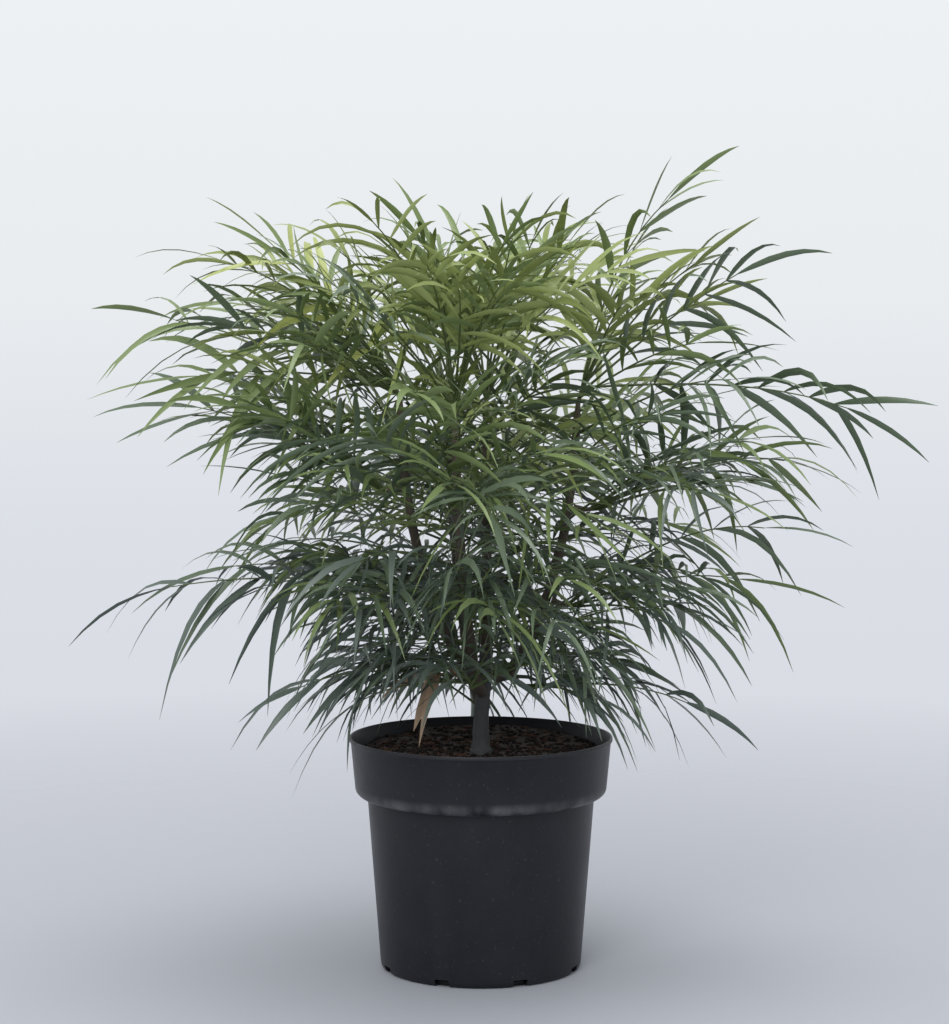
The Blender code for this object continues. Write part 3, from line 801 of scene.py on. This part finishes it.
@dataclass
class Wood:
    """The main stem and its canes, planned by the frame's rule and built with the bark's relief."""

    soil_top: float = 0.158
    gap: float = 0.0003
    foot_radius: float = 0.0088
    stem_radius: float = 0.0056
    stem_tip_radius: float = 0.0048
    flare: float = 0.016
    stem_tip: tuple = (0.004, 0.0, 0.236)
    cane_radius: float = 0.0042
    cane_tip_radius: float = 0.0029
    rings: int = 6
    sides: int = 22
    ring_step: float = 0.0016
    relief: float = 0.16

    def plan(self) -> dict:
        """Plan every limb.

        Returns:
            The limbs by name.
        """
        foot = Vector((0.0, 0.0, self.soil_top + self.gap))
        tip = Vector(self.stem_tip)
        points = [foot, foot + UP * self.flare * 0.4, foot + UP * self.flare]
        above = bezier((points[-1], points[-1] + UP * 0.02, tip - UP * 0.02, tip), self.rings)[1:]
        radii = [self.foot_radius, (self.foot_radius + 2 * self.stem_radius) / 3, self.stem_radius]
        radii += [self.stem_radius + (self.stem_tip_radius - self.stem_radius) * (k + 1) / len(above)
                  for k in range(len(above))]
        stem = Limb("main_stem", points + above, radii)
        limbs = {stem.name: stem}
        for cane in CANES:
            limbs[cane.name] = self.plan_cane(cane, stem)
        return limbs

    def plan_cane(self, cane: Cane, stem: Limb) -> Limb:
        """Plan one cane, which leaves the stem square to its bark and turns upright.

        Args:
            cane: The cane.
            stem: The main stem.

        Returns:
            The limb.
        """
        tip = Vector(cane.tip)
        if cane.height >= self.stem_tip[2]:
            start = (stem.points[-1] - stem.points[-2]).normalized()
            foot = stem.points[-1] + start * self.gap
        else:
            start = direction(cane.azimuth, 0)
            middle, radius, _ = stem.at(stem.share_at(cane.height))
            foot = middle + start * (radius + 1.5 * self.gap)
        span = (tip - foot).length
        points = bezier((foot, foot + start * span * 0.16, tip - UP * span * 0.36, tip), self.rings + 1)
        radii = [self.cane_radius + (self.cane_tip_radius - self.cane_radius) * k / self.rings
                 for k in range(self.rings + 1)]
        return Limb(cane.name, points, radii)

    def build(self, limbs: dict) -> None:
        """Build and dress every limb.

        Args:
            limbs: The limbs by name.
        """
        old = BarkFinish("stem_bark", (0.028, 0.028, 0.029), (0.128, 0.130, 0.132)).make()
        young = BarkFinish("cane_bark", (0.034, 0.026, 0.021), (0.130, 0.108, 0.084)).make()
        for limb in limbs.values():
            item = self.build_limb(limb)
            dress(item, old if limb.name == "main_stem" else young, "bark", limb.name)

    def build_limb(self, limb: Limb) -> bpy.types.Object:
        """Extrude one limb in fine rings and raise its furrows, scars and nodes.

        Args:
            limb: The limb.

        Returns:
            The object.
        """
        rows = resampled(limb.points, self.ring_step)
        bm = bmesh.new()
        tangent = (rows[1] - rows[0]).normalized()
        turn = UP.rotation_difference(tangent)
        frame = Matrix.Translation(rows[0]) @ turn.to_matrix().to_4x4()
        bmesh.ops.create_circle(bm, cap_ends=True, segments=self.sides, radius=1.0, matrix=frame)
        face = bm.faces[:][0]
        rings = [(bm.verts[:], frame, 0.0)]
        for index in range(1, len(rows)):
            onward = (rows[min(index + 1, len(rows) - 1)] - rows[index - 1]).normalized()
            turn = tangent.rotation_difference(onward) @ turn
            tangent = onward
            following = Matrix.Translation(rows[index]) @ turn.to_matrix().to_4x4()
            ring, face = extrude_on(bm, face, index == 1)
            bmesh.ops.transform(bm, matrix=following @ frame.inverted(), verts=ring)
            frame = following
            rings.append((ring, frame, index / (len(rows) - 1)))
        for ring, frame, share in rings:
            self.shape_ring(limb, ring, frame, share)
        return smoothed(bm, limb.name + "_bark", 80.0)

    def shape_ring(self, limb: Limb, ring: list, frame: Matrix, share: float) -> None:
        """Set one ring's radius, with the relief of the bark.

        Args:
            limb: The limb.
            ring: The ring's vertices.
            frame: The ring's place and turn.
            share: Its share of the limb's length.
        """
        centre, radius, _ = limb.at(share)
        back = frame.inverted()
        node_wave = max(0.0, math.sin(share * len(limb.points) * math.tau * 0.55)) ** 6
        for vert in ring:
            flat = (back @ vert.co).normalized()
            angle = math.atan2(flat.y, flat.x)
            along = share * 18.0
            spot = Vector((math.cos(angle) * 2.6, math.sin(angle) * 2.6, along))
            furrow = noise.noise(Vector((spot.x * 1.6, spot.y * 1.6, along * 0.35)))
            knots = noise.noise(spot * 0.9)
            size = radius * (1.0 + self.relief * (0.6 * furrow + 0.4 * knots) + 0.10 * node_wave)
            vert.co = centre + (vert.co - frame.translation).normalized() * size


def resampled(points: Path, step: float) -> Path:
    """Give evenly spaced points along a path.

    Args:
        points: The path.
        step: The distance between the points.

    Returns:
        The points.
    """
    count = max(2, round(sum((b - a).length for a, b in zip(points, points[1:])) / step))
    result = []
    for index in range(count + 1):
        place = index / count * (len(points) - 1)
        low = min(int(place), len(points) - 2)
        result.append(points[low].lerp(points[low + 1], place - low))
    return result


def extrude_on(bm: bmesh.types.BMesh, face: bmesh.types.BMFace, first: bool) -> tuple:
    """Extrude an end face, and keep the old one only at the start.

    Args:
        bm: The shape.
        face: Its end face.
        first: Whether that face closes the start.

    Returns:
        The new ring of vertices and the new end face.
    """
    grown = bmesh.ops.extrude_face_region(bm, geom=[face], use_keep_orig=True)
    if not first:
        bmesh.ops.delete(bm, geom=[face], context="FACES_ONLY")
    ring = [item for item in grown["geom"] if isinstance(item, bmesh.types.BMVert)]
    ends = [item for item in grown["geom"] if isinstance(item, bmesh.types.BMFace)]
    return ring, ends[0]


class Blade:
    """A narrow shape made once, whose copies are bent along paths."""

    def __init__(self, corners: tuple, shares: tuple, widths: tuple) -> None:
        """Extrude a section in steps of one along Z, and note each vertex's place.

        Args:
            corners: The section's (across, height) corners, in shares of the width.
            shares: The share of the path at each ring.
            widths: The width at each ring, in shares of the full width.
        """
        bm = bmesh.new()
        face = bm.faces.new([bm.verts.new((x, y, 0.0)) for x, y in corners])
        for index in range(1, len(shares)):
            ring, face = extrude_on(bm, face, index == 1)
            bmesh.ops.translate(bm, vec=(0, 0, 1), verts=ring)
        bmesh.ops.recalc_face_normals(bm, faces=bm.faces)
        bm.verts.index_update()
        places = np.array([vert.co[:] for vert in bm.verts])
        self.faces = [[vert.index for vert in face.verts] for face in bm.faces]
        bm.free()
        self.shares = np.array(shares)
        self.ring = np.rint(places[:, 2]).astype(int)
        scale = np.array(widths)[self.ring]
        self.across = places[:, 0] * scale
        self.height = places[:, 1] * scale

    def bent(self, path: np.ndarray, normal: np.ndarray, width: float, twist: float = 0.0) -> np.ndarray:
        """Bend a copy along a path.

        Args:
            path: One point for each ring.
            normal: The direction that the face looks to at the root.
            width: The full width.
            twist: The turn from root to tip, in radians.

        Returns:
            The points of the copy.
        """
        tangents = np.gradient(path, axis=0)
        tangents /= np.linalg.norm(tangents, axis=1)[:, None]
        sides = np.cross(tangents, normal)
        sides /= np.linalg.norm(sides, axis=1)[:, None]
        lifts = np.cross(sides, tangents)
        if twist:
            turn = (twist * self.shares)[:, None]
            sides, lifts = (sides * np.cos(turn) + lifts * np.sin(turn),
                            lifts * np.cos(turn) - sides * np.sin(turn))
        across = self.across[:, None] * width
        height = self.height[:, None] * width
        return path[self.ring] + sides[self.ring] * across + lifts[self.ring] * height


@dataclass
class Frond:
    """One feathered leaf: the path of its rib, and where its leaflets stand."""

    points: np.ndarray
    length: float
    bare: float
    roll: float
    breadth: float
    leads: bool = False

    def at(self, share: float) -> tuple:
        """Give the point and the direction of the rib at a share of its length."""
        place = share * (len(self.points) - 1)
        index = min(int(place), len(self.points) - 2)
        rest = place - index
        before, after = self.points[index], self.points[index + 1]
        aim = after - before
        return before + aim * rest, aim / np.linalg.norm(aim)


def unit(vector: np.ndarray) -> np.ndarray:
    """Give a vector its length of one."""
    return vector / np.linalg.norm(vector)


@dataclass
class Crown:
    """All fronds: ribs and leaflets grown by the frame's rule and carried to finer ones."""

    limbs: dict
    low: Vector
    high: Vector
    gap: float = 0.0003
    stem_radius: float = 0.0027
    side_stem: float = 0.020
    tip_stem: float = 0.030
    rib_steps: int = 13
    rib_width: float = 0.0021
    bare_share: float = 0.22
    crown_bare_share: float = 0.32
    leader_growth: float = 1.16
    pair_spacing: float = 0.0152
    leaf_length: float = 0.063
    leaf_width: float = 0.0045
    extra: float = 2.3
    extra_low: float = 1.1
    low_height: float = 0.23
    high_height: float = 0.41
    narrowing: float = 0.92
    cane_spacing: float = 0.0059
    golden_turn: float = 137.5
    limb_clearance: float = 0.0022
    leader_breadth: float = 1.2
    leader_roll: float = 32.0
    leader_spacing: float = 1.8
    leader_lift: float = 0.24
    withered_breadth: float = 1.6
    withered_length: float = 0.84
    foot_shows_to: float = 0.204
    foot_shows_across: float = 0.036
    foot_shows_from: float = 0.050
    over_rim: float = 0.176
    beside_rim: float = 0.103
    inside_rim: float = 0.082
    over_soil: float = 0.162
    soil_slope: float = 0.11
    soil_flat: float = 0.026
    spill: float = 0.008
    seed: int = 7

    def __post_init__(self) -> None:
        """Make the blades that every copy is bent from."""
        shares = (0.0, 0.05, 0.17, 0.34, 0.52, 0.70, 0.86, 1.0)
        widths = (0.16, 0.42, 0.82, 1.0, 0.95, 0.72, 0.38, 0.03)
        self.leaf = Blade(((-0.5, 0.10), (0.0, -0.06), (0.5, 0.10), (0.0, 0.0)), shares, widths)
        ring = tuple((math.cos(k * math.tau / 5) * 0.5, math.sin(k * math.tau / 5) * 0.5) for k in range(5))
        along = tuple(k / (self.rib_steps - 1) for k in range(self.rib_steps))
        swell = tuple(1.35 if k == 0 else 1.0 - 0.62 * k / (self.rib_steps - 1)
                      for k in range(self.rib_steps))
        self.rib = Blade(ring, along, swell)
        self.bark = np.array([(*limb.at(share)[0], limb.at(share)[1])
                              for limb in self.limbs.values() for share in np.linspace(0, 1, 48)])
        self.leaves = {tint: [] for tint in LeafTint}
        self.ribs = {"rib_green": [], "rib_dry": []}
        self.stems = []

    def frond(self, foot: np.ndarray, leader: Leader, curl: float, roll: float, breadth: float) -> Frond:
        """Plan the rib of a frond.

        Args:
            foot: Where it leaves the stem.
            leader: Its aim, length and droop.
            curl: Its sideways bend in degrees.
            roll: The turn of its two rows of leaflets about the rib, in degrees.
            breadth: The breadth of its leaflets, where 1 is usual.

        Returns:
            The frond.
        """
        points = [foot]
        for index in range(self.rib_steps - 1):
            middle = (index + 0.5) / (self.rib_steps - 1)
            aim = direction(leader.azimuth + curl * middle,
                            leader.elevation - 1.4 * leader.droop * middle * middle)
            points.append(points[-1] + np.array(aim) * leader.length / (self.rib_steps - 1))
        return Frond(np.array(points), leader.length, self.bare_share, math.radians(roll), breadth)

    def free(self, points: np.ndarray) -> bool:
        """Say whether a path stays in the plant's box and clear of the pot and the compost.

        Args:
            points: The path.

        Returns:
            True if it does.
        """
        low = np.array(self.low) - self.spill
        high = np.array(self.high) + self.spill
        if (points < low).any() or (points > high).any():
            return False
        reach = np.hypot(points[:, 0], points[:, 1])
        height = points[:, 2]
        above = height > self.over_rim
        outside = reach > self.beside_rim
        ground = self.over_soil + self.soil_slope * np.maximum(points[:, 1] - self.soil_flat, 0.0)
        over = (reach < self.inside_rim) & (height > ground)
        if not (above | outside | over).all():
            return False
        before_foot = ((points[:, 1] < -self.foot_shows_from) & (height < self.foot_shows_to)
                       & (np.abs(points[:, 0]) < self.foot_shows_across))
        return not before_foot.any()

    def off_limbs(self, points: np.ndarray) -> bool:
        """Say whether a path keeps off the stem and the canes.

        Args:
            points: The path.

        Returns:
            True if it does.
        """
        gaps = np.linalg.norm(points[:, None, :] - self.bark[None, :, :3], axis=2)
        return bool((gaps > self.bark[None, :, 3] + self.limb_clearance).all())

    def grow_leaflet(self, frond: Frond, share: float, angle: float, size: float, sag: float,
                     tint: LeafTint, chance: random.Random) -> None:
        """Grow one leaflet, unless it would leave the plant's space.

        Args:
            frond: The frond that it belongs to.
            share: Its place on the rib, as a share of the rib's length.
            angle: Its turn from the rib's direction, in degrees.
            size: Its share of the full length.
            sag: How far it arches down, where 1 is usual.
            tint: Its colour.
            chance: The draws of this mass.
        """
        root, aim = frond.at(share)
        level = unit(np.cross(aim, UP))
        above = np.cross(level, aim)
        across = level * math.cos(frond.roll) + above * math.sin(frond.roll)
        face = above * math.cos(frond.roll) - level * math.sin(frond.roll)
        turn = math.radians(angle)
        at_end = share == 1.0
        rank = self.rank(float(root[2]))
        length = self.leaf_length * size * (0.92 + 0.24 * rank)
        length *= chance.uniform(0.8, 1.18) * (self.leader_growth if frond.leads else 1.0)
        if tint is LeafTint.DRY:
            length *= self.withered_length
        lift = self.leader_lift if frond.leads else 0.42 + 0.30 * rank
        rise = chance.uniform(-0.12, 0.12) if at_end else chance.uniform(-0.10, lift)
        first = unit(aim * math.cos(turn) + across * math.sin(turn) + np.array(UP) * rise)
        fall = sag * chance.uniform(0.45, 1.75) * (0.6 if at_end else 1.0) * (1.05 - 0.45 * rank)
        swing = chance.uniform(-0.24, 0.24) * (0.4 if at_end else 1.0)
        t = self.leaf.shares[:, None]
        path = root + length * (first * t - np.array(UP) * fall * t * t * (0.20 + 0.32 * t)
                                + unit(np.cross(first, UP)) * swing * t * t)
        if not self.free(path[2:]) or not self.off_limbs(path[3:]):
            return
        lean = chance.uniform(-0.85, 0.85)
        normal = unit(face * math.cos(lean) + across * math.sin(lean) + aim * chance.uniform(-0.3, 0.3))
        broad = self.narrowing + (1 - self.narrowing) * rank
        width = self.leaf_width * broad * frond.breadth * chance.uniform(0.85, 1.2)
        self.leaves[tint].append(self.leaf.bent(path, normal, width, chance.uniform(-0.9, 0.9)))

    def rank(self, height: float) -> float:
        """Give 0 at the height of the lowest masses and 1 at that of the crown."""
        return min(1.0, max(0.0, (height - self.low_height) / (self.high_height - self.low_height)))

    def tint_for(self, tuft: Tuft, tip: np.ndarray, chance: random.Random) -> LeafTint:
        """Deal out the colour of a spray: old and in painted shade low down, young and in painted light at
        the top, darker farther from the stem.

        Args:
            tuft: The mass that it belongs to.
            tip: The end of its rib.
            chance: The draws of this mass.

        Returns:
            The tint.
        """
        if tuft.name == "tuft_withered":
            return LeafTint.DRY
        # Painted light and shade: the higher the spray, the lighter its copy of the leaf colour.
        rank = (min(float(tip[2]), 0.54) - 0.17) / 0.40 + chance.uniform(-0.34, 0.30)
        rank -= 2.2 * max(0.0, math.hypot(tip[0], tip[1]) - 0.16)
        if rank < 0.22 and tip[2] < 0.36:
            return LeafTint.SHADE
        if rank < 0.50:
            return LeafTint.DEEP
        if rank < 0.84:
            return LeafTint.GREEN
        return LeafTint.BRIGHT if rank < 1.14 else LeafTint.YOUNG

    def dress_frond(self, tuft: Tuft, frond: Frond, chance: random.Random) -> None:
        """Set the leaflets along one rib, in pairs, and one at its end.

        Args:
            tuft: The mass that it belongs to.
            frond: The frond.
            chance: The draws of this mass.
        """
        tint = self.tint_for(tuft, frond.points[-1], chance)
        kind = "rib_dry" if tint is LeafTint.DRY else "rib_green"
        self.ribs[kind].append(self.rib.bent(frond.points, np.array(UP) + 0.01, self.rib_width))
        spacing = self.pair_spacing
        if frond.leads:
            spacing *= self.leader_spacing - 0.5 * self.rank(float(frond.points[0][2]))
        pairs = max(2, round(frond.length * (1 - frond.bare) / spacing))
        for index in range(pairs):
            share = (index + 0.5) / pairs
            place = frond.bare + (1 - frond.bare) * share
            for side in (-1, 1):
                angle = side * (66 - 28 * share) + chance.uniform(-17, 17)
                size = (0.76 + 0.24 * math.sin(math.pi * share)) * tuft.leaf_scale
                self.grow_leaflet(frond, place, angle, size, tuft.sag, tint, chance)
        self.grow_leaflet(frond, 1.0, 0.0, 0.9 * tuft.leaf_scale, tuft.sag, tint, chance)

    def grow_tuft(self, tuft: Tuft, seed: int) -> None:
        """Grow one mass of fronds from its cane.

        Args:
            tuft: The mass.
            seed: The seed of its draws.
        """
        chance = random.Random(seed)
        point, radius, aim = self.limbs[tuft.cane].at(tuft.along)
        if tuft.along == 1.0:
            foot, out, reach = point + aim * self.gap, aim, self.tip_stem
        else:
            side = direction(tuft.azimuth, 0)
            out = (side - aim * side.dot(aim)).normalized()
            foot, reach = point + out * (radius + 1.5 * self.gap), self.side_stem
        lean = (out + direction(tuft.azimuth, max(tuft.elevation, 10)) * 0.5).normalized()
        bend = foot + out * reach * 0.45
        tip = bend + lean * reach * 0.55
        self.stems.append((foot, bend, tip))
        fan = round(tuft.fronds * (self.extra_low + (self.extra - self.extra_low) * self.rank(foot.z)))
        grown = self.rank(foot.z)
        shortest = 0.58 + 0.26 * grown
        longest = 0.92 + (0.16 if tuft.cane in ("cane_left", "cane_right") else 0.36) * grown
        dry = tuft.name == "tuft_withered"
        breadth = self.withered_breadth if dry else self.leader_breadth
        plans = [(leader, 0.0, self.leader_roll, breadth) for leader in tuft.leaders]
        for index in range(fan):
            share = index / max(fan - 1, 1)
            inner = index % 3 == 2
            lift = chance.uniform(-1.0, 1.0) * tuft.rise + (10 if inner else 0)
            plans.append((Leader(tuft.azimuth + tuft.fan * (2 * share - 1) + chance.uniform(-9, 9),
                                 tuft.elevation + lift,
                                 tuft.length * chance.uniform(shortest, longest) * (0.74 if inner else 1.0),
                                 tuft.droop * chance.uniform(0.8, 1.25)),
                          chance.uniform(-14, 14), chance.uniform(-42, 42), chance.uniform(0.75, 1.2)))
        for rank, (leader, curl, roll, breadth) in enumerate(plans):
            start = bend.lerp(tip, 0.25 + 0.7 * (rank % 4) / 3)
            frond = self.frond(np.array(start), leader, curl, roll, breadth)
            frond.leads = rank < len(tuft.leaders)
            if tuft.along == 1.0 and not frond.leads:
                frond.bare = self.crown_bare_share
            if self.free(frond.points):
                self.dress_frond(tuft, frond, chance)

    def grow_cane(self, limb: Limb, seed: int) -> None:
        """Grow the shorter fronds that stand along a cane between its masses.

        Args:
            limb: The cane.
            seed: The seed of its draws.
        """
        chance = random.Random(seed)
        length = sum((b - a).length for a, b in zip(limb.points, limb.points[1:]))
        count = round(length * 0.84 / self.cane_spacing)
        turn = chance.uniform(0, 360)
        for index in range(count):
            share = 0.14 + 0.84 * ((index + 0.5) / count) ** 1.15
            point, radius, _ = limb.at(share)
            turn += self.golden_turn + chance.uniform(-14, 14)
            lift = 12 + 30 * share * share + chance.uniform(-16, 16)
            leader = Leader(turn, lift, chance.uniform(0.062, 0.098) + 0.044 * share,
                            chance.uniform(16, 34) * (1.2 - 0.6 * share))
            foot = np.array(point + direction(turn, lift * 0.5) * (radius + self.gap))
            frond = self.frond(foot, leader, chance.uniform(-14, 14), chance.uniform(-42, 42),
                               chance.uniform(0.7, 1.1))
            if self.free(frond.points) and self.off_limbs(frond.points[3:]):
                self.dress_frond(TUFTS[0], frond, chance)

    def build(self) -> None:
        """Grow every mass, join the copies by kind and dress the pieces."""
        for index, tuft in enumerate(TUFTS):
            self.grow_tuft(tuft, self.seed + index)
        for index, limb in enumerate(self.limbs.values()):
            if limb.name != "main_stem":
                self.grow_cane(limb, self.seed + 100 + index)
        names = [tuft.name for tuft in TUFTS]
        for tint, placed in self.leaves.items():
            if placed:
                item = shown(copies_mesh(tint.value.name, placed, self.leaf.faces),
                             "leaves_" + tint.name.lower(), 50.0)
                slot = "dead_leaves" if tint is LeafTint.DRY else "foliage"
                dress(item, tint.value.make(), slot, *names)
                LOG.info("%s: %d leaflets", item.name, len(placed))
        for name, colour, slot in (("rib_green", (0.070, 0.100, 0.030), "foliage"),
                                   ("rib_dry", (0.260, 0.130, 0.060), "dead_leaves")):
            item = shown(copies_mesh(name, self.ribs[name], self.rib.faces), name + "s", 60.0)
            dress(item, PlainFinish(name, colour, 0.5).make(), slot, *names)
        shapes = [self.rib.bent(np.array(resample_to(stem, self.rib_steps)), np.array((0.3, 0.2, 1.0)),
                                self.stem_radius * 2) for stem in self.stems]
        item = shown(copies_mesh("twigs", shapes, self.rib.faces), "twigs", 60.0)
        dress(item, PlainFinish("twig", (0.090, 0.075, 0.045), 0.7).make(), "bark")


def resample_to(points: tuple, count: int) -> Path:
    """Give a number of points along a path, evenly by share.

    Args:
        points: The path.
        count: The number of points.

    Returns:
        The points.
    """
    result = []
    for index in range(count):
        place = index / (count - 1) * (len(points) - 1)
        low = min(int(place), len(points) - 2)
        result.append(points[low].lerp(points[low + 1], place - low))
    return result


@dataclass
class Studio:
    """The camera of the photograph, a plain pale floor and soft lights."""

    camera_place: tuple = (-0.0047, -2.0, 0.49)
    camera_tilt: float = 85.6
    lens: float = 96.5
    sensor: float = 36.0
    floor_radius: float = 2.4
    floor_colour: tuple = (0.355, 0.367, 0.404)
    fade_start: float = 0.10
    fade_end: float = 1.45
    backdrop: tuple = ((0.0, (0.675, 0.695, 0.755)), (0.37, (0.715, 0.740, 0.797)),
                       (0.62, (0.810, 0.840, 0.865)), (1.0, (0.852, 0.884, 0.910)))
    backdrop_low: float = -0.20
    backdrop_high: float = 0.12

    def camera(self) -> None:
        """Place the camera."""
        data = bpy.data.cameras.new("camera")
        data.lens = self.lens
        data.sensor_width = self.sensor
        camera = bpy.data.objects.new("camera", data)
        camera.location = self.camera_place
        camera.rotation_euler = (math.radians(self.camera_tilt), 0.0, 0.0)
        bpy.context.scene.collection.objects.link(camera)
        bpy.context.scene.camera = camera

    def world(self) -> None:
        """Light the scene evenly from all sides, with a backdrop that pales upwards."""
        world = bpy.data.worlds.new("studio")
        world.use_nodes = True
        nodes, links = world.node_tree.nodes, world.node_tree.links
        aim = nodes.new("ShaderNodeTexCoord")
        parts = nodes.new("ShaderNodeSeparateXYZ")
        span = nodes.new("ShaderNodeMapRange")
        span.inputs["From Min"].default_value = self.backdrop_low
        span.inputs["From Max"].default_value = self.backdrop_high
        ramp = nodes.new("ShaderNodeValToRGB")
        Shading.set_stops(ramp, self.backdrop)
        links.new(aim.outputs["Generated"], parts.inputs[0])
        links.new(parts.outputs["Z"], span.inputs["Value"])
        links.new(span.outputs[0], ramp.inputs[0])
        links.new(ramp.outputs[0], nodes["Background"].inputs["Color"])
        bpy.context.scene.world = world
        bpy.context.scene.view_settings.view_transform = "Standard"

    def floor(self) -> None:
        """Lay the floor, which fades out into the backdrop."""
        bm = bmesh.new()
        bmesh.ops.create_circle(bm, cap_ends=True, segments=96, radius=self.floor_radius)
        item = smoothed(bm, "floor")
        shading = Shading("floor", 0.7, 0.2)
        shading.colour(self.floor_colour)
        where = shading.node("ShaderNodeTexCoord", output="Object")
        reach = shading.node("ShaderNodeVectorMath", {"operation": "LENGTH"}, {0: where}, "Value")
        share = shading.node("ShaderNodeMapRange", {"clamp": True},
                             {"Value": reach, "From Min": self.fade_start, "From Max": self.fade_end,
                              "To Min": 1.0, "To Max": 0.0})
        shading.link(shading.shader.inputs["Alpha"], share)
        item.data.materials.append(shading.material)
        item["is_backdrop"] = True

    def lamp(self, name: str, place: tuple, size: float, power: float) -> None:
        """Hang one soft lamp that looks at the plant.

        Args:
            name: The lamp's name.
            place: Its place.
            size: Its side.
            power: Its power in watts.
        """
        data = bpy.data.lights.new(name, "AREA")
        data.size = size
        data.energy = power
        lamp = bpy.data.objects.new(name, data)
        lamp.location = place
        aim = Vector((0.0, 0.0, 0.3)) - Vector(place)
        lamp.rotation_euler = aim.to_track_quat("-Z", "Y").to_euler()
        bpy.context.scene.collection.objects.link(lamp)

    def build(self) -> None:
        """Set up the whole studio."""
        self.camera()
        self.world()
        self.floor()
        self.lamp("lamp_front", (-0.45, -1.9, 1.7), 1.0, 26.0)
        self.lamp("lamp_top", (0.2, 0.1, 2.4), 1.2, 24.0)


def main() -> None:
    """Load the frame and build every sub-assembly."""
    logging.basicConfig(level=logging.INFO, format="%(name)s: %(message)s")
    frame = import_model()
    LOG.info("nodes: %d", len(frame["nodes"]))
    cad_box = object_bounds()
    Studio().build()
    NurseryPot().build()
    Compost().build()
    wood = Wood()
    limbs = wood.plan()
    wood.build(limbs)
    Crown(limbs, *cad_box).build()


if __name__ == "__main__":
    main()
